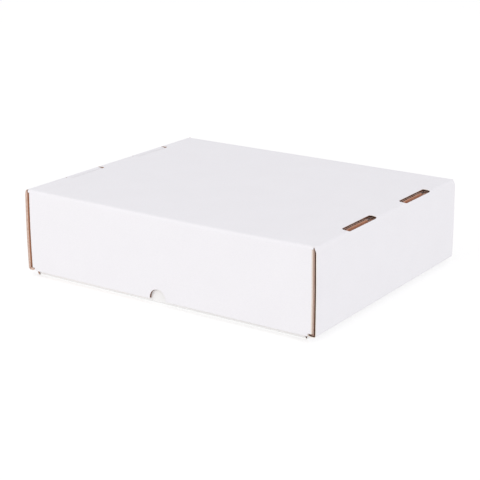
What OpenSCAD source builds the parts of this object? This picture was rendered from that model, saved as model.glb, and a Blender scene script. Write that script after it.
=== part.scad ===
// Storage box for trading cards: a white corrugated tray with three rows, and a full-depth lid
// that slips over it. Each of the two is one die-cut blank. Its ends roll over the corner flaps
// and lock with two tabs each, which stand in slots along the end fold.
// Origin: the middle of the underside. +X right, +Z up, the front with its thumb cut faces -Y.
// All lengths in millimetres.

/* [Board] */
// Thickness of the corrugated board
board = 3; // [2:0.5:4]
// Free space between two plies that lie against each other
ply_gap = 0.3; // [0.2:0.1:0.8]
// Thickness of the paper liner on each side of the board
liner = 0.5; // [0.3:0.1:0.8]
// Depth of the open flute in a raw edge that runs along the flutes
flute_depth = 2; // [0.5:0.5:4]

/* [Lid] */
// Width of the lid over its two rolled ends
lid_w = 400; // [300:1:520]
// Depth of the lid, front to back
lid_d = 325; // [260:1:420]
// Height of the lid
lid_h = 99; // [80:1:140]
// Radius of the thumb cut in the lower edge of the front and the back
thumb_r = 11; // [8:1:25]
// Height of the thumb cut's straight sides, below its round top
thumb_side = 1.6; // [0:0.2:10]
// How far the thumb cut sits to the left of the middle
thumb_shift = 6; // [0:1:30]

/* [Tray] */
// How far the tray shows below the lid
foot_h = 5.5; // [2:0.5:20]
// Free space between the tray and the lid on each side
lid_play = 1; // [0.5:0.1:3]
// Free space between the rims of the tray and the lid that rests on them
seat_gap = 0.3; // [0.2:0.1:1]

/* [Locks] */
// Length of each slot along the end fold
slot_l = 64; // [30:1:80]
// Half the distance between the middles of the two slots in an end
slot_pitch = 65; // [45:1:80]
// How far the slots sit towards the back
slot_shift = 2.5; // [0:0.5:5]
// Free space behind a lock tab, on the side away from the fold
slot_play = 2.5; // [0.5:0.1:3]
// Radius of the slot's corners
slot_r = 4; // [0.5:0.5:5]
// Free space in the slot in front of a lock tab
tab_front_gap = 2.5; // [1:0.5:8]
// Free space in the slot behind a lock tab
tab_rear_gap = 12.5; // [1:0.5:16]
// How far each end of a lock tab slants in towards its tip
tab_slant = 2; // [0.5:0.5:5]
// How far the tip of a lock tab stays below the face of the panel
tab_back = 0.4; // [0.2:0.1:1]

/* [Flaps] */
// Length of the corner flaps inside the rolled ends
flap_l = 82; // [40:1:110]
// How far the two free corners of a flap are cut off
flap_cut = 10; // [2:1:25]

/* [Rows] */
// How far the row dividers stay below the rims of the tray
divider_drop = 6; // [4:1:30]
// Height of the tongue at each end of a divider
tongue_h = 40; // [15:1:60]
// Free space round a tongue in its slot, and at each end of a divider
tongue_play = 0.3; // [0.2:0.1:1]

/* [Hidden] */
$fn = 48;

// Three plies and the two spaces between them make a rolled end
end_t = 3 * board + 2 * ply_gap;
// The tray fits in the lid, and its height follows from what shows below the lid
tray_w = lid_w - 2 * (end_t + lid_play);
tray_d = lid_d - 2 * (board + lid_play);
tray_h = foot_h + lid_h - board - seat_gap;
// A long wall stops below the rims, where the ends roll over it
under_rim = board + ply_gap;
// A divider is a strip folded double, and two of them part the tray into equal rows
ROWS = 3;
divider_t = 2 * board + ply_gap;
row_w = (tray_d - 2 * board - (ROWS - 1) * divider_t) / ROWS;
divider_y = (row_w + divider_t) / 2;
divider_h = tray_h - board - divider_drop;
tongue_z = board + (divider_h - tongue_h) / 2;
// The slots are cut halfway round the fold, which is this share of the board from its outer face
FOLD_SHARE = 1 - sqrt(1 / 2);
// Cuts run past the faces that they open by this much
over = 1;

BRIGHT_WHITE = [0.94, 0.94, 0.96];
SOFT_WHITE = [0.90, 0.89, 0.88];

// What a fold takes off a square corner at the origin, with the material at +X and +Y
module corner_waste(r) {
    difference() {
        translate([-over, -over]) square(r + over);
        translate([r, r]) circle(r);
    }
}

// A plate from the origin to [w, h] whose corners are folds where the list says so:
// low left, low right, high right, high left
module folded_plate(w, h, r, folds) {
    at = [[0, 0], [w, 0], [w, h], [0, h]];
    difference() {
        square([w, h]);
        for (i = [0:3])
            if (folds[i])
                translate(at[i]) rotate(90 * i) corner_waste(r);
    }
}

// Extrudes a section in X and Z along Y, evenly to both sides
module along_y(length) {
    translate([0, length / 2, 0]) rotate([90, 0, 0]) linear_extrude(length) children();
}

// Extrudes a section in Y and Z along X, evenly to both sides
module along_x(length) {
    translate([-length / 2, 0, 0]) rotate([90, 0, 90]) linear_extrude(length) children();
}

module both_ends() {
    children();
    mirror([1, 0, 0]) children();
}

module both_sides() {
    children();
    mirror([0, 1, 0]) children();
}

// Section of the end that is as long as the box is deep: the last of the floor, the outer ply
// and the rim. Its outer face is at x = 0. The inset is 0 for the board, and the liner for the
// flute inside it.
module outer_ply_section(h, inset) {
    r = board - inset;
    difference() {
        translate([-end_t + inset, inset])
            folded_plate(end_t - 2 * inset, h - 2 * inset, r, [false, true, true, true]);
        translate([-end_t - over, board - inset])
            square([end_t + over - board + inset, h - 2 * r]);
        translate([-end_t - over, -over]) square([end_t + over - board - ply_gap, board + 2 * over]);
    }
}

// Section of the open flute that shows where the outer ply and the rim are cut along the flutes
module flute_section(h) {
    intersection() {
        outer_ply_section(h, liner);
        translate([-end_t, board]) square([end_t, h]);
    }
}

module outer_ply(w, d, h) {
    translate([w / 2, 0, 0]) difference() {
        along_y(d) outer_ply_section(h, 0);
        both_sides() translate([0, -d / 2, 0])
            along_y(2 * flute_depth) flute_section(h);
    }
}

// The ply that rolls back inside, from the fold at the rim down to the floor
module inner_ply(w, d, h) {
    translate([w / 2 - end_t, 0, under_rim]) along_y(d - 2 * (board + ply_gap))
        folded_plate(board, h - under_rim, board, [false, false, false, true]);
}

// The floor and the two long walls. Each wall's ends stay below the rims.
module floor_and_walls(w, d, h, wall_h) {
    length = w - 2 * (board + ply_gap);
    low_h = h - under_rim;
    translate([board - w / 2, board - d / 2, 0]) cube([w - 2 * board, d - 2 * board, board]);
    difference() {
        along_x(length) difference() {
            translate([-d / 2, 0]) folded_plate(d, wall_h, board, [true, true, false, false]);
            translate([-d / 2 + board, board]) square([d - 2 * board, wall_h]);
        }
        both_ends() translate([w / 2 - end_t - ply_gap, -d, low_h]) cube([end_t, 2 * d, h]);
        both_ends() both_sides() translate([length / 2, -d / 2, under_rim])
            linear_extrude(h) rotate(90) corner_waste(board);
    }
}

// The flap on a long wall's end, which the rolled end holds between its plies
module corner_flap(w, d, h) {
    low = under_rim;
    high = h - under_rim;
    outline = [
        [board / 2, low], [flap_l - flap_cut, low], [flap_l, low + flap_cut],
        [flap_l, high - flap_cut], [flap_l - flap_cut, high], [board / 2, high]
    ];
    difference() {
        translate([w / 2 - board - ply_gap - board, -d / 2, 0])
            rotate([90, 0, 90]) linear_extrude(board) polygon(outline);
        translate([w / 2 - board - ply_gap, -d / 2, 0])
            linear_extrude(h) rotate(90) corner_waste(board);
    }
}

// Puts a slot or a tab at its two places in an end
module at_locks() {
    for (side = [-1, 1])
        translate([0, side * slot_pitch + slot_shift, 0]) children();
}

// The slot for a lock tab, from the rounded fold inwards
module lock_slot(w) {
    outer = w / 2 - board * FOLD_SHARE;
    inner = w / 2 - end_t - slot_play;
    translate([outer, -slot_l / 2, -over])
        linear_extrude(over + board + ply_gap / 2)
            rotate(90) folded_plate(slot_l, outer - inner, slot_r, [true, true, true, true]);
}

module lock_tab(w) {
    front = tab_front_gap - slot_l / 2;
    back = slot_l / 2 - tab_rear_gap;
    high = under_rim + board;
    outline = [
        [front, high], [front, under_rim], [front + tab_slant, tab_back],
        [back - tab_slant, tab_back], [back, under_rim], [back, high]
    ];
    translate([w / 2 - end_t, 0, 0])
        rotate([90, 0, 90]) linear_extrude(board) polygon(outline);
}

// A folded blank that stands on its flat panel with its rims up
module rolled_end_box(w, d, h, wall_h) {
    difference() {
        union() {
            floor_and_walls(w, d, h, wall_h);
            both_ends() outer_ply(w, d, h);
            both_ends() inner_ply(w, d, h);
            both_ends() both_sides() corner_flap(w, d, h);
        }
        both_ends() at_locks() lock_slot(w);
    }
    both_ends() at_locks() lock_tab(w);
}

// The tray, with slots in its inner plies for the tongues of the dividers
module tray() {
    color(SOFT_WHITE) difference() {
        rolled_end_box(tray_w, tray_d, tray_h, tray_h - under_rim);
        both_ends() both_sides()
            translate([tray_w / 2 - end_t - over, divider_y - divider_t / 2 - tongue_play,
                       tongue_z - tongue_play])
                cube([board + over + ply_gap / 2, divider_t + 2 * tongue_play,
                      tongue_h + 2 * tongue_play]);
    }
}

// Cuts both long walls of the lid at once
module thumb_cut() {
    translate([-thumb_shift, lid_d, lid_h - thumb_side]) rotate([90, 0, 0])
        linear_extrude(2 * lid_d) {
            circle(thumb_r);
            translate([-thumb_r, 0]) square([2 * thumb_r, thumb_side + over]);
        }
}

// The lid is the same kind of box, upside down, with a thumb cut in both long walls
module lid() {
    color(BRIGHT_WHITE) translate([0, 0, foot_h + lid_h]) mirror([0, 0, 1]) difference() {
        rolled_end_box(lid_w, lid_d, lid_h, lid_h);
        thumb_cut();
    }
}

// A strip folded double with its fold on top, which stands on the floor of the tray
module row_divider() {
    inside = tray_w - 2 * end_t;
    length = inside - 2 * tongue_play;
    reach = inside + 2 * board;
    translate([0, 0, board]) difference() {
        along_x(reach) difference() {
            translate([-divider_t / 2, 0])
                folded_plate(divider_t, divider_h, board, [false, false, true, true]);
            translate([-ply_gap / 2, -over]) square([ply_gap, divider_h - board + over]);
        }
        both_ends() translate([length / 2, -divider_t, -over])
            cube([reach, 2 * divider_t, tongue_z - board + over]);
        both_ends() translate([length / 2, -divider_t, tongue_z - board + tongue_h])
            cube([reach, 2 * divider_t, divider_h]);
    }
}

module row_divider_front() {
    color(SOFT_WHITE) translate([0, -divider_y, 0]) row_divider();
}

module row_divider_rear() {
    color(SOFT_WHITE) translate([0, divider_y, 0]) row_divider();
}

tray();
lid();
row_divider_front();
row_divider_rear();
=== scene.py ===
# %% [markdown]
# # A storage box for trading cards, cut flat and folded
# The real box is a tray with three card rows, and a full-depth lid that slips over it. Each of
# the two is one sheet of white corrugated board: cut flat, creased, and folded up. A plain box
# of six plates would miss what makes it look real: plies that roll over each other, rounded
# creases, and brown flutes in every cut edge. So this script works the way the maker does. It
# draws the flat blank, gives it the thickness of two paper liners with flutes between them, and
# folds the whole board up.

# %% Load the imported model
import math
from functools import partial

import bpy
import numpy as np
from mathutils import Matrix, Vector
from mathutils.geometry import delaunay_2d_cdt


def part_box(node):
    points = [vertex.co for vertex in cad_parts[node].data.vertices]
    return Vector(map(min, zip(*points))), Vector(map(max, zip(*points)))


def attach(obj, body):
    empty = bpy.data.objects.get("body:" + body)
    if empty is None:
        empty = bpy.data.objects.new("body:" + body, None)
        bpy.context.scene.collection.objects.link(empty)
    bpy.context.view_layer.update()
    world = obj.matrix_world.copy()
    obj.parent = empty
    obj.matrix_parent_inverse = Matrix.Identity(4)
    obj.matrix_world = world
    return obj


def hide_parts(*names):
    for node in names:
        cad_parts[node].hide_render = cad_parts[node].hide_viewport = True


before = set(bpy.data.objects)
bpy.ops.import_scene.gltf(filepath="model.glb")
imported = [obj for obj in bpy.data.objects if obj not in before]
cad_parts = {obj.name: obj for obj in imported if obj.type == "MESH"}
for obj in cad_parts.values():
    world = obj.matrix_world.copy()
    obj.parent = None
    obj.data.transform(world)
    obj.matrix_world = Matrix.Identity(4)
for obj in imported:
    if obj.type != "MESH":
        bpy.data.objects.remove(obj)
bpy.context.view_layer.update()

# %% [markdown]
# ## Sizes
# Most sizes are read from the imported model, so the folded sheets land where the solids are. A
# divider stands on the floor of the tray, so its lowest point gives the thickness of the board.
# It is two plies thick, which gives the space that two plies keep between them.

# %% Sizes from the frame
MM = 0.001
lid_low, lid_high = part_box("lid")
tray_low, tray_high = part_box("tray")
divider_low, divider_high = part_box("row_divider_front")

BOARD = divider_low.z
PLY_GAP = divider_high.y - divider_low.y - 2 * BOARD
END_T = 3 * BOARD + 2 * PLY_GAP
UNDER_RIM = BOARD + PLY_GAP
LID_W, LID_D, LID_H = lid_high - lid_low
TRAY_W, TRAY_D, TRAY_H = tray_high - tray_low
print(f"board {BOARD / MM:.2f} mm, rolled end {END_T / MM:.2f} mm, lid {LID_W:.3f} x {LID_D:.3f} m")

# %% [markdown]
# The frame has the outer sizes only. The sizes of the cuts are those of the CAD model, apart from
# the skew of the slots: on the photo they are parallelograms, because the crease isn't quite
# square to the sheet. The two slots in an end sit a little nearer to the back, and a straight tab
# stands in the front part of its slot.

# %% Sizes of the cuts
SLOT_L = 64 * MM
# Half the distance between the middles of the two slots in an end
SLOT_PITCH = 65 * MM
SLOT_SHIFT = 2.5 * MM
# Free space behind a tab, on the side away from the crease
SLOT_PLAY = 2.5 * MM
SLOT_R = 4 * MM
SLOT_SKEW = 3 * MM
TAB_FRONT_GAP = 2.5 * MM
TAB_REAR_GAP = 12.5 * MM
TAB_SLANT = 2 * MM
# How far the tip of a tab stays below the face of the panel
TAB_BACK = 0.4 * MM
FLAP_L = 82 * MM
FLAP_CUT = 10 * MM
THUMB_R = 11 * MM
# Height of the thumb cut's straight sides, and how far it sits to the left
THUMB_SIDE = 1.6 * MM
THUMB_SHIFT = 6 * MM
TONGUE_H = 40 * MM
TONGUE_PLAY = 0.3 * MM
print(f"slots {SLOT_L / MM:.0f} mm long, corner flaps {FLAP_L / MM:.0f} mm")

# %% Sizes of the paper
LINER = 0.45 * MM
FLUTE_PAPER = 0.25 * MM
FLUTE_PITCH = 6.5 * MM
# Width of a cut that the knife makes without taking board away
SLIT = 0.05 * MM
print(f"liners {LINER / MM:.2f} mm, space between them {(BOARD - 2 * LINER) / MM:.2f} mm")

# %% [markdown]
# ## Folding
# Board doesn't bend like a hinge. The outer liner runs round a crease in a small arc, the inner
# liner has almost no way to go, and the flutes between them are crushed. A section through the
# folded board is therefore a row of flat stretches with quarter turns between them. A point of
# the flat blank is given by its distance along that row and by its depth in the board.

# %% A section through folded board
FOLD_R = BOARD + PLY_GAP / 2
FOLD_STEPS = 8
# The share of its thickness that the board loses in the middle of a crease
CRUSH = 0.5
QUARTER = math.pi / 2
FOLD_ARC = FOLD_R * QUARTER


def folded_section(stretches, along, depth):
    """Places points of a strip of flat stretches, each with a turn inwards at its end.

    A stretch is its length, and the angle and the radius of the turn."""
    place = np.zeros((len(along), 2))
    corner, heading, start = np.zeros(2), np.array([1.0, 0.0]), 0.0
    for flat, angle, radius in stretches:
        inwards = np.array([-heading[1], heading[0]])
        on = along >= start
        ahead = (along[on] - start)[:, None]
        place[on] = corner + ahead * heading + depth[on][:, None] * inwards
        corner, start = corner + flat * heading, start + flat
        if angle == 0:
            break
        centre = corner + radius * inwards
        on = along >= start
        turn = np.clip((along[on] - start) / (radius * angle), 0, 1)
        crushed = depth[on] * (1 - CRUSH * np.sin(math.pi * turn) ** 2)
        turned = turn[:, None] * angle
        spoke = np.sin(turned) * heading - np.cos(turned) * inwards
        place[on] = centre + (radius - crushed)[:, None] * spoke
        corner = centre + radius * (math.sin(angle) * heading - math.cos(angle) * inwards)
        heading = math.cos(angle) * heading + math.sin(angle) * inwards
        start += radius * angle
    return place


def crease_marks(start):
    """The distances that divide the arc of a crease."""
    return start + np.linspace(0, FOLD_ARC, FOLD_STEPS + 1)


def even_marks(low, high, step):
    """Distances that divide a flat stretch evenly, without its two ends."""
    return np.linspace(low, high, max(2, round((high - low) / step) + 1))[1:-1]


def smooth(low, high, value):
    """Rises from 0 at low to 1 at high, with no kink."""
    t = np.clip((value - low) / (high - low), 0, 1)
    return t * t * (3 - 2 * t)


print(f"a crease takes {FOLD_ARC / MM:.2f} mm of board")

# %% [markdown]
# ## The flat blank
# The blank has the flat panel in the middle and two long walls, each with a flap at both ends.
# Each end strip has the outer ply, the rim and the inner ply one after the other, and its lock
# tabs stick out at the far edge. The flutes run along U, so they stand upright in the rolled ends,
# where the box carries its load. All places on the sheet follow from the size of the folded box
# and from the board that each crease takes, so the two blanks are one class with two sets of sizes.

# %% Where the creases and edges are on the sheet
# A corner flap starts a little inside its place, and reaches it at this distance from its crease
FLAP_SET_BACK = 1 * MM
FLAP_EASE = 16 * MM
# The tabs that are bent over: by how much, how tightly, how far they reach, and what space they
# leave at each end of their slots
BENT = math.radians(80)
BENT_R = 2.2 * MM
BENT_L = 5.8 * MM
BENT_GAP = 1.0 * MM
BENT_SLANT = 0.8 * MM


class Blank:
    """The sheet of a box. U runs from end to end, V from wall to wall, and 0 is in the middle.

    The back of the box is at +V or at -V, and its tabs at -U can be bent over."""

    def __init__(self, w, d, h, wall_h, back, bent_tabs, thumb_cut):
        self.w, self.d, self.h = w, d, h
        self.back, self.bent_tabs, self.thumb_cut = back, bent_tabs, thumb_cut
        self.wall_end = w / 2 - BOARD - PLY_GAP
        self.end_flat = w / 2 - FOLD_R
        self.rim_start = self.end_flat + FOLD_ARC + h - 2 * FOLD_R
        self.rim_end = self.rim_start + FOLD_ARC + END_T - 2 * FOLD_R
        self.inner_start = self.rim_end + FOLD_ARC
        self.wall_flat = d / 2 - FOLD_R
        self.flap_flat = self.wall_end - FLAP_SET_BACK - FOLD_R
        self.wall_top = self.up_the_wall(wall_h)
        self.low_top = self.up_the_wall(h - UNDER_RIM)
        self.flap_low = self.up_the_wall(UNDER_RIM)
        self.foot = self.down_the_inner_ply(UNDER_RIM)
        self.bent_tip = self.foot + BENT * BENT_R + BENT_L

    def up_the_wall(self, z):
        """The V of a height on a long wall."""
        return self.wall_flat + FOLD_ARC + z - FOLD_R

    def down_the_inner_ply(self, z):
        """The U of a height on the inner ply of an end."""
        return self.inner_start + self.h - FOLD_R - z

    def along_the_flap(self, reach):
        """The U of a distance along a corner flap, from the corner of the box."""
        return self.flap_flat + FOLD_ARC + reach - FOLD_R


lid_blank = Blank(LID_W, LID_D, LID_H, LID_H, back=-1, bent_tabs=True, thumb_cut=True)
tray_blank = Blank(TRAY_W, TRAY_D, TRAY_H, TRAY_H - UNDER_RIM, back=1, bent_tabs=False,
                   thumb_cut=False)
for blank in (lid_blank, tray_blank):
    print(f"flat blank: {2 * blank.foot:.3f} x {2 * blank.wall_top:.3f} m without its tabs")

# %% [markdown]
# ### Its outline
# The four quarters of the outline differ in their tabs only, so one function draws them all, and
# each is mirrored into its place. The thumb cuts sit a little to the left.

# %% Draw the outline
THUMB_STEPS = 24


def quarter(blank, side, wall):
    """The outline from the middle of an end to the middle of a long wall's free edge.

    The side and the wall are -1 or 1, but the points are all given at +U and +V."""
    notch = blank.w / 2 - END_T - PLY_GAP
    flap, flap_in = blank.along_the_flap(FLAP_L), blank.along_the_flap(FLAP_L - FLAP_CUT)
    edge, ply_edge = blank.d / 2, blank.d / 2 - UNDER_RIM
    tip = blank.down_the_inner_ply(TAB_BACK)
    front_gap, rear_gap, slant = TAB_FRONT_GAP, TAB_REAR_GAP, TAB_SLANT
    if blank.bent_tabs and side < 0:
        tip, front_gap, rear_gap, slant = blank.bent_tip, BENT_GAP, BENT_GAP, BENT_SLANT
    root = (SLOT_L - front_gap - rear_gap) / 2
    middle = SLOT_PITCH + wall * blank.back * (SLOT_SHIFT + (front_gap - rear_gap) / 2)
    points = [
        # The tab, and the far edge of the end strip
        (blank.foot, middle - root), (tip, middle - root + slant),
        (tip, middle + root - slant), (blank.foot, middle + root),
        (blank.foot, ply_edge), (blank.inner_start, ply_edge), (blank.inner_start, edge),
        # The cut between the end strip and the flap
        (blank.wall_end + SLIT, edge), (blank.wall_end, blank.wall_flat),
        (blank.wall_end - FLAP_SET_BACK, blank.flap_low - SLIT), (blank.flap_flat, blank.flap_low),
        # The flap, and the low end of the wall under the rim
        (flap_in, blank.flap_low), (flap, blank.flap_low + FLAP_CUT),
        (flap, blank.low_top - FLAP_CUT), (flap_in, blank.low_top), (notch, blank.low_top),
    ]
    if blank.wall_top > blank.low_top:
        points.append((notch, blank.wall_top))
    return np.array(points)


def blank_outline(blank):
    """The whole outline, counter-clockwise, with the thumb cuts in the long walls."""
    turns = np.linspace(0, math.pi, THUMB_STEPS + 1)[:, None]
    arch = np.hstack([np.cos(turns), -np.sin(turns)]) * THUMB_R - [0, THUMB_SIDE]
    arch = np.vstack([[(THUMB_R, 0)], arch, [(-THUMB_R, 0)]]) + [-THUMB_SHIFT, blank.wall_top]
    if not blank.thumb_cut:
        arch = np.empty((0, 2))
    return np.vstack([quarter(blank, 1, 1), arch, quarter(blank, -1, 1)[::-1] * [-1, 1],
                      -quarter(blank, -1, -1), arch[::-1] * [1, -1],
                      quarter(blank, 1, -1)[::-1] * [1, -1]])


print("outline points:", len(blank_outline(lid_blank)), len(blank_outline(tray_blank)))

# %% [markdown]
# ### Its slots
# A lock slot starts halfway round the crease beside the panel, so it also shows as a notch from
# the end. The die that cuts it has round corners. The dividers have plain slots in the inner plies.

# %% Place the slots
SLOT_STEPS = 6


def lock_slots(blank):
    """The four slots for the lock tabs, which reach halfway round the crease."""
    outer = blank.end_flat + FOLD_ARC / 2
    inner = blank.w / 2 - END_T - SLOT_PLAY
    turns = np.linspace(0, QUARTER, SLOT_STEPS + 1)[:, None]
    corner = np.hstack([np.cos(turns), np.sin(turns)]) * SLOT_R
    half = np.array([(outer - inner) / 2, SLOT_L / 2]) - SLOT_R
    loop = np.vstack([corner + half, (corner[::-1] + half) * [-1, 1],
                      -corner - half, (corner[::-1] + half) * [1, -1]])
    loop[:, 1] -= blank.back * SLOT_SKEW * loop[:, 0] / (outer - inner)
    middle = (inner + outer) / 2
    return [loop * [side, 1] + [side * middle, wall * SLOT_PITCH + blank.back * SLOT_SHIFT]
            for side in (-1, 1) for wall in (-1, 1)]


def tongue_slots(blank, divider_y, tongue_z):
    """The slots in the inner plies, for the tongues of the dividers."""
    half = (2 * BOARD + PLY_GAP) / 2 + TONGUE_PLAY
    near = blank.down_the_inner_ply(tongue_z + TONGUE_H + TONGUE_PLAY)
    far = blank.down_the_inner_ply(tongue_z - TONGUE_PLAY)
    places = [(side, y) for side in (-1, 1) for y in (-divider_y, divider_y)]
    return [np.array([(side * near, y - half), (side * near, y + half),
                      (side * far, y + half), (side * far, y - half)]) for side, y in places]


print("lock slots:", len(lock_slots(lid_blank)))

# %% [markdown]
# ### The lines of its mesh
# A sheet can only bend where its mesh has points. So lines run along each crease, close together
# in the arc and further apart where the board stays flat, and the places that get pressed or
# eased have a few of their own.

# %% Draw the lines
# The corners of the panel are pressed in over this distance
PINCH_REACH = 7 * MM
PINCH_STEPS, TAB_STEPS = 5, 8
EASE_MARKS = np.array([0.4, 0.6, 0.8])


def mesh_lines(blank, step):
    """Lines over the sheet, along its creases and evenly between them."""
    outer_ply = blank.end_flat + FOLD_ARC
    top, edge, tip = blank.up_the_wall(blank.h), blank.d / 2, blank.bent_tip
    flap_end = blank.along_the_flap(FLAP_L)
    pinch = np.arange(1, PINCH_STEPS) * PINCH_REACH / PINCH_STEPS
    ends = np.concatenate([
        crease_marks(blank.end_flat), crease_marks(blank.rim_start), crease_marks(blank.rim_end),
        outer_ply + pinch, even_marks(outer_ply + PINCH_REACH, blank.rim_start, step),
        even_marks(blank.inner_start, blank.foot, step),
        np.linspace(blank.foot, tip, TAB_STEPS + 1)[:-1]])
    panel = even_marks(-blank.wall_end + END_T, blank.wall_end - END_T, step)
    flaps = np.concatenate([crease_marks(blank.flap_flat),
                            blank.along_the_flap(EASE_MARKS * FLAP_EASE),
                            even_marks(blank.along_the_flap(FLAP_EASE), flap_end, step)])
    lines = [((u, -top), (u, top)) for u in panel]
    lines += [((-tip, v), (tip, v)) for v in even_marks(-blank.wall_flat, blank.wall_flat, step)]
    for side in (-1, 1):
        lines += [((side * u, -edge), (side * u, edge)) for u in ends]
        for wall in (-1, 1):
            lines += [((side * u, wall * blank.flap_low), (side * u, wall * top)) for u in flaps]
            lines += [((side * blank.wall_end, wall * v), (side * blank.rim_start, wall * v))
                      for v in edge - pinch]
    for wall in (-1, 1):
        lines += [((-blank.wall_end, wall * v), (blank.wall_end, wall * v))
                  for v in crease_marks(blank.wall_flat)]
        lines += [((-flap_end, wall * v), (flap_end, wall * v))
                  for v in even_marks(blank.flap_low, blank.low_top, step)]
    return lines


MESH_STEP = 13 * MM
print("lines on the lid's sheet:", len(mesh_lines(lid_blank, MESH_STEP)))

# %% [markdown]
# ### Folding it up
# The ends roll over along U, and the long walls go up along V. A corner flap does both: it goes up
# with its wall and then turns in at the wall's end, where two plies of the rolled end hold it. Its
# crease is crushed more than the others. It is painted a warm pale there: partly the white that
# cracks, partly painted shade for the warm shade in the narrow gap beside the raw edge. Where the
# creases of the panel end in a cut, nothing holds the board, so it is pressed in.

# %% Fold a blank
PINCH_FROM, EASE_FROM = 0.1 * PINCH_REACH, 0.25 * FLAP_EASE
# By what share the corners are pressed in, at +U and at -U
PINCH_RIGHT, PINCH_LEFT = 0.8, 0.25
# The part of a flap's crease painted pale (cracked white and painted shade), as shares of its arc
CRACK_AND_SHADE_START, CRACK_AND_SHADE_END = 0.25, 1.2


def pinched(blank, place, v, side):
    """Presses the corners of the panel, where the cut ends of a crease give way."""
    x, z = place[:, 0], place[:, 1]
    start = blank.wall_end + SLIT
    share = smooth(blank.d / 2 - PINCH_REACH, blank.d / 2, np.abs(v))
    share *= 1 - smooth(PINCH_FROM, PINCH_REACH, z)
    share *= np.where(side > 0, PINCH_RIGHT, PINCH_LEFT)
    return np.where(x > start, start + (x - start) * (1 - share), x)


def fold_blank(blank, flat, depth):
    """Turns points of the flat sheet into points of the box, standing on its panel."""
    u, v, hair = flat[:, 0], flat[:, 1], SLIT / 10
    reach, side, front = np.abs(u), np.sign(u), np.sign(v)

    # The panel and the rolled ends
    plies = [(blank.end_flat, QUARTER, FOLD_R), (blank.h - 2 * FOLD_R, QUARTER, FOLD_R),
             (END_T - 2 * FOLD_R, QUARTER, FOLD_R)]
    place = folded_section(plies + [(blank.h, 0, 0)], reach, depth)
    if blank.bent_tabs:
        flattened = depth * (1 - CRUSH * smooth(blank.foot, blank.foot + BOARD, reach))
        over = [(blank.foot - blank.inner_start, BENT, BENT_R), (blank.h, 0, 0)]
        place[u < 0] = folded_section(plies + over, reach, flattened)[u < 0]
    point = np.stack([side * pinched(blank, place, v, side), v, place[:, 1]], axis=1)

    # The long walls
    wall = (np.abs(v) > blank.wall_flat) & (reach < blank.wall_end + hair)
    wall |= np.abs(v) > blank.d / 2 + hair
    section = [(blank.wall_flat, QUARTER, FOLD_R), (blank.h, 0, 0)]
    up = folded_section(section, np.abs(v), depth)
    point[wall] = np.stack([u, front * up[:, 0], up[:, 1]], axis=1)[wall]

    # The corner flaps, which take their height from the wall
    flap = (np.abs(v) > blank.flap_low - hair) & (reach > blank.flap_flat)
    eased = smooth(EASE_FROM, FLAP_EASE, reach - blank.along_the_flap(0))
    turn = folded_section([(blank.flap_flat, QUARTER, FOLD_R), (FLAP_L, 0, 0)], reach,
                          depth * (1 - CRUSH * (1 - eased)))
    level = folded_section(section, np.abs(v), np.zeros(len(v)))
    point[flap] = np.stack([side * (turn[:, 0] + FLAP_SET_BACK * eased),
                            front * (blank.d / 2 - turn[:, 1]), level[:, 1]], axis=1)[flap]
    return point


def is_cracked_and_shaded(blank, flat):
    """Tells which places of a flap's crease are painted pale: cracked white, and painted shade."""
    turn = (np.abs(flat[:, 0]) - blank.flap_flat) / FOLD_ARC
    return (turn > CRACK_AND_SHADE_START) & (turn < CRACK_AND_SHADE_END) & (np.abs(flat[:, 1]) > blank.flap_low)


corner = fold_blank(lid_blank, np.array([[lid_blank.rim_start, 0.0]]), np.zeros(1))[0]
print(f"the rim starts {corner[0]:.4f} m out and {corner[2]:.4f} m up")

# %% [markdown]
# ## Cutting the sheet
# A cutting die has the outline, the holes and the creases in one plane. Blender's triangulation
# with fixed lines does the same: it takes all of them, finds where they cross, and fills the
# sheet with triangles that respect every line. What lies outside the outline or in a hole is
# waste and is dropped.

# %% Fill the outline with triangles
# Points that lie nearer to each other than this, in metres, become one
SAME_POINT = 1e-7


def is_inside(points, loop):
    """Tells for each point if it lies inside a closed loop."""
    u, v = points[:, 0, None], points[:, 1, None]
    u0, v0 = loop[:, 0], loop[:, 1]
    u1, v1 = np.roll(u0, -1), np.roll(v0, -1)
    passes = (v0 > v) != (v1 > v)
    rise = np.where(v1 == v0, 1, v1 - v0)
    crossing = u0 + (v - v0) * (u1 - u0) / rise
    return np.sum(passes & (u < crossing), axis=1) % 2 == 1


def cut_sheet(outline, holes, lines):
    """Cuts a flat sheet: gives its points, its triangles and the directed edges of its cuts."""
    points, edges = [], []
    for loop in [outline] + holes:
        first, count = len(points), len(loop)
        points += [Vector(p) for p in loop]
        edges += [(first + i, first + (i + 1) % count) for i in range(count)]
    for start, end in lines:
        edges.append((len(points), len(points) + 1))
        points += [Vector(start), Vector(end)]
    flat, _, faces, *_ = delaunay_2d_cdt(points, edges, [], 0, SAME_POINT)
    flat, faces = np.array([tuple(p) for p in flat]), np.array(faces)
    middle = flat[faces].mean(axis=1)
    kept = is_inside(middle, outline)
    for hole in holes:
        kept &= ~is_inside(middle, hole)
    used, faces = np.unique(faces[kept], return_inverse=True)
    faces = faces.reshape(-1, 3)
    sides = np.vstack([faces[:, [0, 1]], faces[:, [1, 2]], faces[:, [2, 0]]])
    # A side whose reverse belongs to no triangle is a cut
    known = {tuple(side) for side in sides.tolist()}
    cuts = np.array([side for side in sides.tolist() if (side[1], side[0]) not in known])
    return flat[used], faces, cuts


# %% [markdown]
# ## From sheet to board
# In a cut across the flutes the two liners end flush, and the fluted paper between them is torn
# back a little. Where the knife ran along the flutes it opened one of them: some flute sticks to
# the outer liner as a pale lip, and a dark channel lies behind it. The knife wasn't quite parallel
# to the flutes, so the channel is open at the right end and closed at the left one. The board is
# one closed mesh: an outer face, an inner face, and along each cut a narrow band with this groove.

# %% The groove in a cut edge
# Depth of a closed edge along the flutes, of an edge across them, and of an open flute
CLOSED, SHALLOW, DEEP = 0.3 * MM, 0.8 * MM, 4.5 * MM
# A long edge along the flutes is closed up to the first place and open from the second one
CLOSED_UP_TO, OPEN_FROM = -100 * MM, 100 * MM
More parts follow.
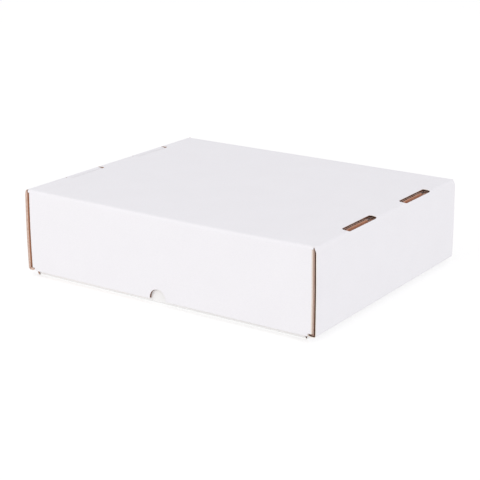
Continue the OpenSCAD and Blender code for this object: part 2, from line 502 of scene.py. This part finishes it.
# Depth in the board, and the distance back from a cut along the flutes and from one across them
GROOVE = [(0, 0, 0), (LINER, 0, 0), (LINER, 0.1 * MM, SHALLOW), (0.28 * BOARD, 0.2 * MM, SHALLOW),
          (0.33 * BOARD, DEEP, SHALLOW), (BOARD - LINER, DEEP, SHALLOW),
          (BOARD - LINER, 0.2 * MM, 0), (BOARD, 0.2 * MM, 0)]
WHITE, KRAFT, CUT, FLUTE, PALE = range(5)
# How far a cut follows the flutes goes from 0, straight across them, to 1, straight along them
ACROSS_BELOW, ALONG_ABOVE = 0.3, 0.5
# In a corner of the outline, the groove reaches in further by this factor at most
MOST_MITRE = 2


def into_board(flat, cuts):
    """The way into the board at each point of a cut, and how far the cut follows the flutes."""
    ahead = flat[cuts[:, 1]] - flat[cuts[:, 0]]
    ahead /= np.linalg.norm(ahead, axis=1)[:, None]
    normal = np.stack([-ahead[:, 1], ahead[:, 0]], axis=1)
    total, follows = np.zeros_like(flat), np.zeros(len(flat))
    for end in (0, 1):
        np.add.at(total, cuts[:, end], normal)
        np.add.at(follows, cuts[:, end], ahead[:, 0] ** 2 / 2)
    size = np.maximum(np.linalg.norm(total, axis=1), 1e-9)
    return total / size[:, None] / np.maximum(size / 2, 1 / MOST_MITRE)[:, None], follows


def board_from_sheet(flat, faces, cuts, fold, is_painted_pale):
    """Gives a flat sheet its thickness, folds it, and returns points, faces, finishes and UVs."""
    # The points: the outer face, the inner face, and one row for each level of the groove
    rim = np.unique(cuts)
    number = np.zeros(len(flat), int)
    number[rim] = np.arange(len(rim))
    way, follows = into_board(flat, cuts)
    way, share = way[rim], follows[rim][:, None]
    inner = flat.copy()
    inner[rim] += way * share * GROOVE[-1][1]
    count = len(flat)
    layers, depths = [flat, inner], [np.zeros(count), np.full(count, BOARD)]
    opened = smooth(CLOSED_UP_TO, OPEN_FROM, flat[rim][:, :1])
    for depth, back_along, back_across in GROOVE[1:-1]:
        back_here = min(back_along, CLOSED) * (1 - opened) + back_along * opened
        layers.append(flat[rim] + way * (share * back_here + (1 - share) * back_across))
        depths.append(np.full(len(rim), depth))
    flat_all, depth_all = np.vstack(layers), np.concatenate(depths)
    # The faces: the two liners, and a band of quads between each two levels
    bands = [2 * count + i * len(rim) + number[cuts] for i in range(len(GROOVE) - 2)]
    bands = [cuts] + bands + [cuts + count]
    along = np.all(follows[cuts] > ALONG_ABOVE, axis=1)
    closed = along & (flat[cuts[:, 0], 0] < 0)
    all_faces = faces[:, ::-1].tolist() + (faces + count).tolist()
    # Places on a flap's crease are painted pale: cracked white, and painted warm shade in the fold
    painted_pale = is_painted_pale(flat[faces].mean(axis=1))
    all_finishes = np.where(painted_pale, PALE, WHITE).tolist() + [KRAFT] * len(faces)
    for i, (low, high) in enumerate(zip(bands, bands[1:])):
        all_faces += np.hstack([low, high[:, ::-1]]).tolist()
        plain = CUT if i in (0, len(bands) - 2) else FLUTE
        lip = np.where(along & (i < 3), PALE, plain)
        all_finishes += np.where(closed, CUT, lip).tolist()
    return fold(flat_all, depth_all), all_faces, all_finishes, flat_all


# %% [markdown]
# ## The fluted paper
# Where a cut runs across the flutes, the wave of the fluted paper shows between the liners, as
# on the edge of any carton. It follows a rule and repeats hundreds of times, which is work for
# Geometry Nodes. The tree takes the cut lines, divides them finely, lifts the points into a
# wave, and draws the line back into the board as a thin ribbon. It works on the flat sheet, and
# the ribbon is folded up with the rest.

# %% Short ways to build a node tree
def node_adder(tree):
    """A function that adds a node, sets its values, and links or sets its inputs."""
    def add(kind, inputs=None, **values):
        node = tree.nodes.new(kind)
        for key, value in values.items():
            setattr(node, key, value)
        for key, value in (inputs or {}).items():
            if isinstance(value, bpy.types.NodeSocket):
                tree.links.new(value, node.inputs[key])
            else:
                node.inputs[key].default_value = value
        return node
    return add


def maths(add, operation, *values):
    """Adds a maths node and gives its result."""
    return add("ShaderNodeMath", dict(enumerate(values)), operation=operation).outputs[0]


# %% A Geometry Nodes tree that makes a fluted ribbon
POINTS_PER_FLUTE = 12
WELD = 0.01 * MM


def fluted_ribbon_tree():
    """A tree that turns cut lines of the flat sheet into ribbons of fluted paper."""
    tree = bpy.data.node_groups.new("fluted_ribbon", "GeometryNodeTree")
    new = tree.interface.new_socket
    new("Geometry", in_out="INPUT", socket_type="NodeSocketGeometry")
    for name in ("Pitch", "Height", "Middle", "Thickness", "Reach"):
        new(name, in_out="INPUT", socket_type="NodeSocketFloat")
    new("Paper", in_out="INPUT", socket_type="NodeSocketMaterial")
    new("Geometry", in_out="OUTPUT", socket_type="NodeSocketGeometry")
    add = node_adder(tree)
    given = add("NodeGroupInput").outputs

    curve = add("GeometryNodeMeshToCurve", {"Mesh": given["Geometry"]})
    step = maths(add, "DIVIDE", given["Pitch"], POINTS_PER_FLUTE)
    fine = add("GeometryNodeResampleCurve", {"Curve": curve.outputs["Curve"], "Length": step},
               mode="LENGTH")
    line = add("GeometryNodeCurveToMesh", {"Curve": fine.outputs["Curve"]})

    place = add("GeometryNodeInputPosition")
    parts = add("ShaderNodeSeparateXYZ", {0: place.outputs["Position"]}).outputs
    turns = maths(add, "DIVIDE", parts["Y"], given["Pitch"])
    swing = maths(add, "COSINE", maths(add, "MULTIPLY", turns, 2 * math.pi))
    height = maths(add, "ADD", maths(add, "MULTIPLY", swing, given["Height"]), given["Middle"])
    wave = add("ShaderNodeCombineXYZ", {"X": parts["X"], "Y": parts["Y"], "Z": height})
    waved = add("GeometryNodeSetPosition", {"Geometry": line.outputs["Mesh"],
                                            "Position": wave.outputs[0]})

    inwards = add("GeometryNodeInputNamedAttribute", {"Name": "inwards"}, data_type="FLOAT_VECTOR")
    ribbon = add("GeometryNodeExtrudeMesh", {"Mesh": waved.outputs["Geometry"],
                                             "Offset": inwards.outputs["Attribute"],
                                             "Offset Scale": given["Reach"]}, mode="EDGES")
    thick = add("GeometryNodeExtrudeMesh", {"Mesh": ribbon.outputs["Mesh"], "Individual": False,
                                            "Offset Scale": given["Thickness"]}, mode="FACES")
    back = add("GeometryNodeFlipFaces", {"Mesh": ribbon.outputs["Mesh"]})
    both = add("GeometryNodeJoinGeometry", {"Geometry": thick.outputs["Mesh"]})
    tree.links.new(back.outputs["Mesh"], both.inputs["Geometry"])
    closed = add("GeometryNodeMergeByDistance", {"Geometry": both.outputs["Geometry"],
                                                 "Distance": WELD})
    real = add("GeometryNodeRealizeInstances", {"Geometry": closed.outputs["Geometry"]})
    finish = add("GeometryNodeSetMaterial", {"Geometry": real.outputs["Geometry"],
                                             "Material": given["Paper"]})
    add("NodeGroupOutput", {"Geometry": finish.outputs["Geometry"]})
    return tree


ribbon_tree = fluted_ribbon_tree()
print("fluted ribbon tree:", len(ribbon_tree.nodes), "nodes")


# %% Run the tree over the cuts of a sheet
# The ribbon starts a little back from the cut and ends behind the groove
RIBBON_START, RIBBON_REACH = 0.3 * LINER, 1.2 * SHALLOW


def fluted_ribbon(flat, cuts, paper):
    """The wave in all cuts across the flutes, as points and faces of the flat sheet."""
    way, follows = into_board(flat, cuts)
    across = cuts[np.all(follows[cuts] < ACROSS_BELOW, axis=1)]
    rim, ends = np.unique(across, return_inverse=True)
    lines = bpy.data.meshes.new("cut_lines")
    places = np.hstack([flat[rim] + way[rim] * RIBBON_START, np.zeros((len(rim), 1))])
    lines.from_pydata(places.tolist(), ends.reshape(-1, 2).tolist(), [])
    inwards = lines.attributes.new("inwards", "FLOAT_VECTOR", "POINT")
    inwards.data.foreach_set("vector", np.hstack([way[rim], np.zeros((len(rim), 1))]).ravel())
    carrier = bpy.data.objects.new("cut_lines", lines)
    bpy.context.scene.collection.objects.link(carrier)
    modifier = carrier.modifiers.new("fluted_ribbon", "NODES")
    modifier.node_group = ribbon_tree
    values = {"Pitch": FLUTE_PITCH, "Height": (BOARD - FLUTE_PAPER) / 2 - LINER,
              "Middle": (BOARD - FLUTE_PAPER) / 2, "Thickness": FLUTE_PAPER,
              "Reach": RIBBON_REACH, "Paper": paper}
    for item in ribbon_tree.interface.items_tree:
        if item.in_out == "INPUT" and item.name in values:
            modifier[item.identifier] = values[item.name]
    graph = bpy.context.evaluated_depsgraph_get()
    made = bpy.data.meshes.new_from_object(carrier.evaluated_get(graph), depsgraph=graph)
    carrier.modifiers.remove(modifier)
    points = np.zeros(len(made.vertices) * 3)
    made.vertices.foreach_get("co", points)
    faces = [list(face.vertices) for face in made.polygons]
    bpy.data.objects.remove(carrier)
    bpy.data.meshes.remove(made)
    return points.reshape(-1, 3), faces


# %% [markdown]
# ## Finishes
# The outer liner is bleached paper: not quite white, a little cool, with a soft sheen, faint
# clouds and hardly visible fibres. On good board one can just see the flutes through it, as
# a very shallow washboard. The inner liner and the flutes are brown kraft with short fibres and
# darker flecks. A cut shows the paper's lighter inside, and where a flute sticks to the back of
# the white it is pale. The crushed crease of a corner flap is painted the same pale, partly as
# white that has cracked and partly as painted warm shade in the fold. All papers share the same
# fibre pattern, so it is one node group, and each paper has its own values for it. The pattern
# lies on the flat sheet, so it runs round the creases as real fibres do.

# %% A node group for paper fibres
def paper_group():
    """A node group that gives a paper its colour, its relief and its sheen."""
    tree = bpy.data.node_groups.new("paper_fibres", "ShaderNodeTree")
    new = tree.interface.new_socket
    new("Sheet", in_out="INPUT", socket_type="NodeSocketVector")
    for name in ("Base", "Fibre", "Fleck"):
        new(name, in_out="INPUT", socket_type="NodeSocketColor")
    for name in ("Fibre Amount", "Fleck Amount", "Cloud Amount", "Washboard", "Pitch"):
        new(name, in_out="INPUT", socket_type="NodeSocketFloat")
    new("Color", in_out="OUTPUT", socket_type="NodeSocketColor")
    new("Height", in_out="OUTPUT", socket_type="NodeSocketFloat")
    new("Roughness", in_out="OUTPUT", socket_type="NodeSocketFloat")
    add = node_adder(tree)
    given = add("NodeGroupInput").outputs

    def noise(vector, scale, **inputs):
        values = {key.title(): value for key, value in inputs.items()}
        return add("ShaderNodeTexNoise", {"Vector": vector, "Scale": scale, **values}).outputs[0]

    def mask(value, low, high):
        return add("ShaderNodeMapRange", {"Value": value, "From Min": low,
                                          "From Max": high}).outputs[0]

    def blend(share, first, second):
        return add("ShaderNodeMix", {0: share, 6: first, 7: second}, data_type="RGBA").outputs[2]

    # The scales are in waves per metre of sheet, and the fibres are drawn out along U
    stretched = add("ShaderNodeMapping", {"Vector": given["Sheet"], "Scale": (1, 4, 1)}).outputs[0]
    fibres = noise(stretched, 420, detail=4, roughness=0.65, distortion=0.6)
    grain = noise(given["Sheet"], 2600, detail=2)
    clouds = noise(given["Sheet"], 22, detail=3)
    specks = noise(stretched, 700, detail=1)
    fibre_share = maths(add, "MULTIPLY", mask(fibres, 0.40, 0.66), given["Fibre Amount"])
    fleck_share = maths(add, "MULTIPLY", mask(specks, 0.70, 0.78), given["Fleck Amount"])
    fibred = blend(fibre_share, given["Base"], given["Fibre"])
    flecked = blend(fleck_share, fibred, given["Fleck"])
    cloud = maths(add, "SUBTRACT", clouds, 0.5)
    lightness = maths(add, "MULTIPLY_ADD", cloud, given["Cloud Amount"], 1.0)
    clouded = add("ShaderNodeVectorMath", {0: flecked, "Scale": lightness}, operation="SCALE")

    parts = add("ShaderNodeSeparateXYZ", {0: given["Sheet"]}).outputs
    turns = maths(add, "DIVIDE", parts["Y"], given["Pitch"])
    wave = maths(add, "COSINE", maths(add, "MULTIPLY", turns, 2 * math.pi))
    washboard = maths(add, "MULTIPLY", wave, given["Washboard"])
    fibre_height = maths(add, "MULTIPLY", fibres, 0.35)
    rough_height = maths(add, "MULTIPLY_ADD", grain, 0.25, fibre_height)
    rough = add("ShaderNodeMapRange", {"Value": fibres, "To Min": 0.52, "To Max": 0.74})
    add("NodeGroupOutput", {"Color": clouded.outputs[0], "Roughness": rough.outputs[0],
                            "Height": maths(add, "ADD", washboard, rough_height)})
    return tree


paper_fibres = paper_group()
print("paper group:", len(paper_fibres.nodes), "nodes")


# %% Paper materials made with the group
def srgb(r, g, b):
    """A colour as it is seen, in 0 to 255, turned into the linear values that nodes take."""
    def linear(value):
        value /= 255
        return value / 12.92 if value <= 0.04045 else ((value + 0.055) / 1.055) ** 2.4
    return (linear(r), linear(g), linear(b), 1)


PAPER_SHEEN = 0.35


def paper(name, base, fibre, fleck, amounts, washboard, bump):
    """A paper: its three colours, how much of fibre, fleck and cloud it has, and its relief."""
    material = bpy.data.materials.new(name)
    material.use_nodes = True
    tree = material.node_tree
    shader = tree.nodes["Principled BSDF"]
    add = node_adder(tree)
    sheet = add("ShaderNodeUVMap", uv_map="sheet")
    fibres = add("ShaderNodeGroup", node_tree=paper_fibres)
    tree.links.new(sheet.outputs["UV"], fibres.inputs["Sheet"])
    names = ("Base", "Fibre", "Fleck", "Fibre Amount", "Fleck Amount", "Cloud Amount",
             "Washboard", "Pitch")
    for key, value in zip(names, (base, fibre, fleck, *amounts, washboard, FLUTE_PITCH)):
        fibres.inputs[key].default_value = value
    relief = add("ShaderNodeBump", {"Height": fibres.outputs["Height"], "Distance": bump})
    tree.links.new(fibres.outputs["Color"], shader.inputs["Base Color"])
    tree.links.new(fibres.outputs["Roughness"], shader.inputs["Roughness"])
    tree.links.new(relief.outputs["Normal"], shader.inputs["Normal"])
    shader.inputs["Specular IOR Level"].default_value = PAPER_SHEEN
    return material


WHITE_FLECK = srgb(205, 198, 190)
# Fibre, fleck and cloud, then washboard and relief
BLEACHED = (0.55, 0.25, 0.035), 0.15, 0.05 * MM
white_liner = paper("white_liner", srgb(243, 242, 246), srgb(236, 235, 239), WHITE_FLECK, *BLEACHED)
# The tray's white is painted a shade lighter than the lid's: painted light that lightens the shade
# under the lid's lower edge
tray_liner_painted_light = paper("tray_liner_painted_light", srgb(247, 247, 247), srgb(240, 240, 240), WHITE_FLECK, *BLEACHED)
kraft_liner = paper("kraft_liner", srgb(212, 160, 132), srgb(184, 132, 104), srgb(112, 76, 58),
                    (0.8, 0.7, 0.16), 0.6, 0.12 * MM)
cut_paper = paper("cut_paper", srgb(214, 188, 174), srgb(190, 158, 142), srgb(134, 104, 88),
                  (0.8, 0.5, 0.2), 0.0, 0.10 * MM)
flute_paper = paper("flute_paper", srgb(138, 97, 78), srgb(110, 76, 59), srgb(68, 46, 35),
                    (0.8, 0.6, 0.2), 0.0, 0.12 * MM)
pale_paper = paper("pale_paper", srgb(244, 236, 226), srgb(226, 212, 198), srgb(170, 144, 122),
                   (0.6, 0.3, 0.1), 0.0, 0.08 * MM)
PAPERS = [white_liner, kraft_liner, cut_paper, flute_paper, pale_paper]
print("papers:", [material.name for material in PAPERS])

# %% [markdown]
# ## Making a piece
# A finished piece is one mesh: the folded board and its fluted ribbons. Its flat coordinates
# become the UV map that the papers read. The broad faces are smooth, so that the small arcs of a
# crease look round, and the cut edges stay crisp.

# %% Find the edges that stay crisp
def cut_borders(mesh, finishes):
    """Tells for each edge of a mesh if a cut begins there or runs along it."""
    # The liners are the only triangles, also where they are painted pale. Two of them share a soft
    # edge
    corners = np.array([len(face.vertices) for face in mesh.polygons])
    broad = np.isin(finishes, (WHITE, KRAFT)) | (corners == 3)
    sharp = np.ones(len(mesh.edges), bool)
    edges = np.zeros(len(mesh.loops), int)
    mesh.loops.foreach_get("edge_index", edges)
    owners = np.repeat(np.arange(len(corners)), corners)
    count = np.bincount(edges[broad[owners]], minlength=len(mesh.edges))
    sharp[count == 2] = False
    return sharp


# %% Put board and ribbons into one object
def nowhere(flat):
    """Says of no place on a sheet that it is painted pale."""
    return np.zeros(len(flat), bool)


def make_piece(name, outline, holes, lines, fold, settle, is_painted_pale=nowhere):
    """Cuts, thickens, folds and settles a sheet of board, and returns it as an object."""
    flat, faces, cuts = cut_sheet(outline, holes, lines)
    points, all_faces, finishes, sheet = board_from_sheet(flat, faces, cuts, fold, is_painted_pale)
    wave, wave_faces = fluted_ribbon(flat, cuts, flute_paper)
    wave_points = fold(wave[:, :2], wave[:, 2])
    all_faces += [[i + len(points) for i in face] for face in wave_faces]
    finishes += [FLUTE] * len(wave_faces)
    points = settle(np.vstack([points, wave_points]))
    sheet = np.vstack([sheet, wave[:, :2]])
    mesh = bpy.data.meshes.new(name)
    mesh.from_pydata(points.tolist(), [], all_faces)
    for material in PAPERS:
        mesh.materials.append(material)
    mesh.polygons.foreach_set("material_index", finishes)
    mesh.polygons.foreach_set("use_smooth", [True] * len(finishes))
    sharp = mesh.attributes.new("sharp_edge", "BOOLEAN", "EDGE")
    sharp.data.foreach_set("value", cut_borders(mesh, finishes))
    corners = np.zeros(len(mesh.loops), int)
    mesh.loops.foreach_get("vertex_index", corners)
    mesh.uv_layers.new(name="sheet").data.foreach_set("uv", sheet[corners].ravel())
    mesh.update()
    piece = bpy.data.objects.new(name, mesh)
    bpy.context.scene.collection.objects.link(piece)
    print(f"{name}: {len(points)} points, {len(all_faces)} faces")
    return piece


def make_box(name, blank, holes, settle):
    """Makes the piece that a blank with rolled ends folds into."""
    return make_piece(name, blank_outline(blank), holes, mesh_lines(blank, MESH_STEP),
                      partial(fold_blank, blank), settle, partial(is_cracked_and_shaded, blank))


# %% [markdown]
# ## The lid
# The lid is the box upside down: its flat panel is the top. Only the rolled ends hold it up, so
# between them the top sags by a millimetre or two. Along the front edge it sags most to the right
# of the middle, as it does on a box that has been used. The tops of the ends lean in a little, and
# the long walls are drawn in. The tabs of the left end were bent over when they were pushed home,
# so they lie flat in their slots with their white side up.

# %% Fold and settle the lid
EDGE_SAG = 1.4 * MM
# Above 1, the front edge sags most to the right of its middle
SAG_SKEW = 1.6
PANEL_SAG = 1.0 * MM
WALL_BOW = 0.25 * MM
END_LEAN = 0.8 * MM


def settle_lid(points):
    """Turns the lid over onto the tray and lets it sag between its stiff ends."""
    points = points * [1, -1, -1] + [0, 0, lid_high.z]
    across = np.clip(points[:, 0] / (LID_W - 2 * END_T) + 0.5, 0, 1)
    depth = 1 - np.clip(2 * points[:, 1] / LID_D, -1, 1) ** 2
    front = np.clip(0.5 - points[:, 1] / LID_D, 0, 1)
    height = np.clip((points[:, 2] - lid_low.z) / LID_H, 0, 1)
    span = 4 * across * (1 - across)
    sag = EDGE_SAG * np.sin(math.pi * across ** SAG_SKEW) * front + PANEL_SAG * span * depth
    points[:, 2] -= sag * height ** 2
    right = np.clip(points[:, 0] / (LID_W / 2), 0, 1) ** 4
    left = np.clip(-points[:, 0] / (LID_W / 2), 0, 1) ** 4
    left_lean, right_lean = 1 - np.sin(math.pi * height), smooth(0.4, 1, height)
    points[:, 0] += END_LEAN * (left * left_lean - right * right_lean)
    bow = WALL_BOW * span * np.sin(math.pi * height)
    points[:, 1] -= np.sign(points[:, 1]) * (1 - depth) * bow
    return points


lid = make_box("lid_folded_board", lid_blank, lock_slots(lid_blank), settle_lid)
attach(lid, "lid")
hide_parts("lid")

# %% [markdown]
# ## The tray
# The tray is the same kind of box, a little smaller, right way up. Its inner plies have slots
# for the dividers. Its long walls bow out between the stiff ends, and its rims are pressed down
# outside, where the lid rests on them. Its white liner is painted a shade lighter than the lid's:
# painted light that lightens the shade on the tray just under the lid's lower edge.

# %% Fold and settle the tray
DIVIDER_T = divider_high.y - divider_low.y
DIVIDER_H = divider_high.z - divider_low.z
DIVIDER_Y = sum(corner.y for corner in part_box("row_divider_rear")) / 2
TONGUE_Z = divider_low.z + (DIVIDER_H - TONGUE_H) / 2
TRAY_BOW = 0.7 * MM
# The rims are pressed down outside by this much, over this distance
RIM_DENT = 2.2 * MM
DENT_REACH = 9 * MM


def settle_tray(points):
    """Bows the tray's long walls out between the stiff ends, and presses the rims down outside."""
    span = 1 - np.clip(points[:, 0] / (TRAY_W / 2 - END_T), -1, 1) ** 2
    wall = np.clip(np.abs(points[:, 1]) / (TRAY_D / 2), 0, 1) ** 12
    points[:, 1] += np.sign(points[:, 1]) * wall * TRAY_BOW * span * smooth(0, BOARD, points[:, 2])
    outside = smooth(TRAY_W / 2 - DENT_REACH, TRAY_W / 2 - MM, np.abs(points[:, 0]))
    points[:, 2] -= RIM_DENT * outside * smooth(TRAY_H - DENT_REACH, TRAY_H, points[:, 2])
    return points


tray_holes = lock_slots(tray_blank) + tongue_slots(tray_blank, DIVIDER_Y, TONGUE_Z)
tray = make_box("tray_folded_board", tray_blank, tray_holes, settle_tray)
# Painted light: the tray gets the lighter white, which lightens the shade under the lid's edge
tray.data.materials[WHITE] = tray_liner_painted_light
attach(tray, "tray")
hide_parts("tray")

# %% [markdown]
# ## The row dividers
# A divider is a strip of board folded double over its top, with a tongue at both ends that sits
# in the inner ply of the tray. Two quarter turns without a flat between them make the fold.

# %% Fold the dividers
DIVIDER_FLAT = DIVIDER_H - FOLD_R
DIVIDER_PLIES = [(DIVIDER_FLAT, QUARTER, FOLD_R), (0, QUARTER, FOLD_R), (DIVIDER_H, 0, 0)]
DIVIDER_L = 2 * (TRAY_W / 2 - END_T - TONGUE_PLAY)
TONGUE_REACH = divider_high.x - divider_low.x


def divider_outline():
    """The flat strip of a divider. U runs up one ply and down the other."""
    far = 2 * (DIVIDER_FLAT + FOLD_ARC)
    low = TONGUE_Z - divider_low.z
    stops = [0, low, low + TONGUE_H, far - low - TONGUE_H, far - low, far]
    half = [DIVIDER_L / 2, TONGUE_REACH / 2, DIVIDER_L / 2, TONGUE_REACH / 2, DIVIDER_L / 2]
    side = [(u, v) for start, end, v in zip(stops, stops[1:], half) for u in (start, end)]
    return np.vstack([np.array(side)[::-1], np.array(side) * [1, -1]])


def divider_lines():
    """Lines along the two creases of a divider, and evenly across its strip."""
    marks = np.concatenate([crease_marks(DIVIDER_FLAT), crease_marks(DIVIDER_FLAT + FOLD_ARC)])
    lines = [((u, -TONGUE_REACH / 2), (u, TONGUE_REACH / 2)) for u in marks]
    far = 2 * (DIVIDER_FLAT + FOLD_ARC)
    even = even_marks(-DIVIDER_L / 2, DIVIDER_L / 2, MESH_STEP)
    return lines + [((0, v), (far, v)) for v in even]


def fold_divider_at(y):
    """A function that folds a flat strip into a divider whose middle is at y."""
    def fold(flat, depth):
        up, across = folded_section(DIVIDER_PLIES, flat[:, 0], depth).T
        return np.stack([flat[:, 1], y - DIVIDER_T / 2 + across, divider_low.z + up], axis=1)
    return fold


for node, y in (("row_divider_front", -DIVIDER_Y), ("row_divider_rear", DIVIDER_Y)):
    strip = make_piece(node + "_board", divider_outline(), [], divider_lines(),
                       fold_divider_at(y), lambda points: points)
    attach(strip, "tray")
    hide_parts(node)

# %% [markdown]
# ## Floor and light
# The box stands on a white sweep under soft, even light. Both the sweep and the sky are lighter
# for the camera than for the paper, so the background stays white while the faces keep their
# shades and the box its faint shadow. The sweep glows for the paper too, though it is no lamp:
# its even glow lights the lower walls of the box without the shade that a real floor next to the
# box would give them. It can't be seen from below, so that the underside can be looked at.
#
# The three faces that show differ by a few shades only. The sky lights them all, and two large,
# weak lamps make the walls a little lighter than the top: one is low in front, and one is low at
# the right side.

# %% Values that differ for the camera and for the light
def by_ray(tree, for_light, for_camera):
    """A value that is one thing for the light, and another for the camera and for reflections."""
    add = node_adder(tree)
    ray = add("ShaderNodeLightPath").outputs
    seen = maths(add, "MAXIMUM", ray["Is Camera Ray"], ray["Is Glossy Ray"])
    return add("ShaderNodeMapRange", {"Value": seen, "To Min": for_light,
                                      "To Max": for_camera}).outputs[0]


# %% A white sweep
FLOOR_HALF, FLOOR_DROP = 6.0, 0.05 * MM
# Each has its value for the light, and then for the camera
# The glow for the light is painted light: it lights the lower walls evenly, without the floor's
# shade
SWEEP_GREY, SWEEP_GLOW = (0.12, 0.50), (0.68, 0.58)
floor_mesh = bpy.data.meshes.new("floor")
floor_mesh.from_pydata([(x * FLOOR_HALF, y * FLOOR_HALF, -FLOOR_DROP)
                        for x, y in ((-1, -1), (1, -1), (1, 1), (-1, 1))], [], [(0, 1, 2, 3)])
floor = bpy.data.objects.new("floor", floor_mesh)
bpy.context.scene.collection.objects.link(floor)
sweep = bpy.data.materials.new("white_sweep")
sweep.use_nodes = True
tree = sweep.node_tree
tree.nodes.remove(tree.nodes["Principled BSDF"])
add = node_adder(tree)
matt = add("ShaderNodeBsdfDiffuse", {"Color": by_ray(tree, *SWEEP_GREY)})
# The sweep's glow is painted fill light that reaches the box, though the sweep is no lamp
glow = add("ShaderNodeEmission", {"Strength": by_ray(tree, *SWEEP_GLOW)})
both = add("ShaderNodeAddShader", {0: matt.outputs[0], 1: glow.outputs[0]})
behind = add("ShaderNodeNewGeometry").outputs["Backfacing"]
clear = add("ShaderNodeBsdfTransparent")
surface = add("ShaderNodeMixShader", {0: behind, 1: both.outputs[0], 2: clear.outputs[0]})
tree.links.new(surface.outputs[0], tree.nodes["Material Output"].inputs["Surface"])
floor_mesh.materials.append(sweep)
print(f"sweep: {2 * FLOOR_HALF:.0f} m wide")

# %% Sky and lamps
# For the light, and for the camera
SKY_LEVEL = (0.834, 1.02)
LAMP_TARGET = Vector((0, 0, 0.05))
world = bpy.data.worlds.new("studio")
bpy.context.scene.world = world
world.use_nodes = True
sky = world.node_tree.nodes["Background"]
world.node_tree.links.new(by_ray(world.node_tree, *SKY_LEVEL), sky.inputs["Strength"])
sky.inputs["Color"].default_value = (0.995, 0.99, 1, 1)


def soft_lamp(name, place, size, power, color):
    """A square lamp that looks at the middle of the box."""
    lamp = bpy.data.lights.new(name, "AREA")
    lamp.energy, lamp.size, lamp.color = power, size, color
    holder = bpy.data.objects.new(name, lamp)
    holder.location = place
    aim = LAMP_TARGET - Vector(place)
    holder.rotation_euler = aim.to_track_quat("-Z", "Y").to_euler()
    bpy.context.scene.collection.objects.link(holder)
    print(f"{name}: {power} W, {aim.length:.2f} m from the box")


soft_lamp("front_lamp", (-0.9, -2.2, 0.65), 1.8, 15.5, (1, 0.95, 0.91))
soft_lamp("side_lamp", (2.4, -0.4, 0.55), 1.6, 10.5, (1, 0.96, 0.96))

# %% [markdown]
# ## The camera
# The camera looks down on the front right corner with a long lens, as product photos of boxes
# are taken. Its angle and distance were worked out from the seven corners of the box that can be
# seen, and it is shifted sideways and up so that the box sits where the photograph has it.

# %% The camera
AZIMUTH, ELEVATION = math.radians(34.05), math.radians(17.54)
DISTANCE = 1.6032
FOCAL_LENGTH, SENSOR_WIDTH = 100.1, 36
LOOK_AT = Vector((0, 0, (lid_low.z + lid_high.z) / 2))
STEP_RIGHT, STEP_UP = -0.00382, -0.01938
back = Vector((math.sin(AZIMUTH) * math.cos(ELEVATION), -math.cos(AZIMUTH) * math.cos(ELEVATION),
               math.sin(ELEVATION)))
right = Vector((math.cos(AZIMUTH), math.sin(AZIMUTH), 0))
up = back.cross(right)
lens = bpy.data.cameras.new("camera")
lens.lens, lens.sensor_width = FOCAL_LENGTH, SENSOR_WIDTH
camera = bpy.data.objects.new("camera", lens)
camera.matrix_world = Matrix((right, up, back)).transposed().to_4x4()
camera.location = LOOK_AT + DISTANCE * back + STEP_RIGHT * right + STEP_UP * up
bpy.context.scene.collection.objects.link(camera)
bpy.context.scene.camera = camera
bpy.context.scene.view_settings.view_transform = "Standard"
print(f"camera: {FOCAL_LENGTH} mm lens, {DISTANCE:.2f} m from the box")
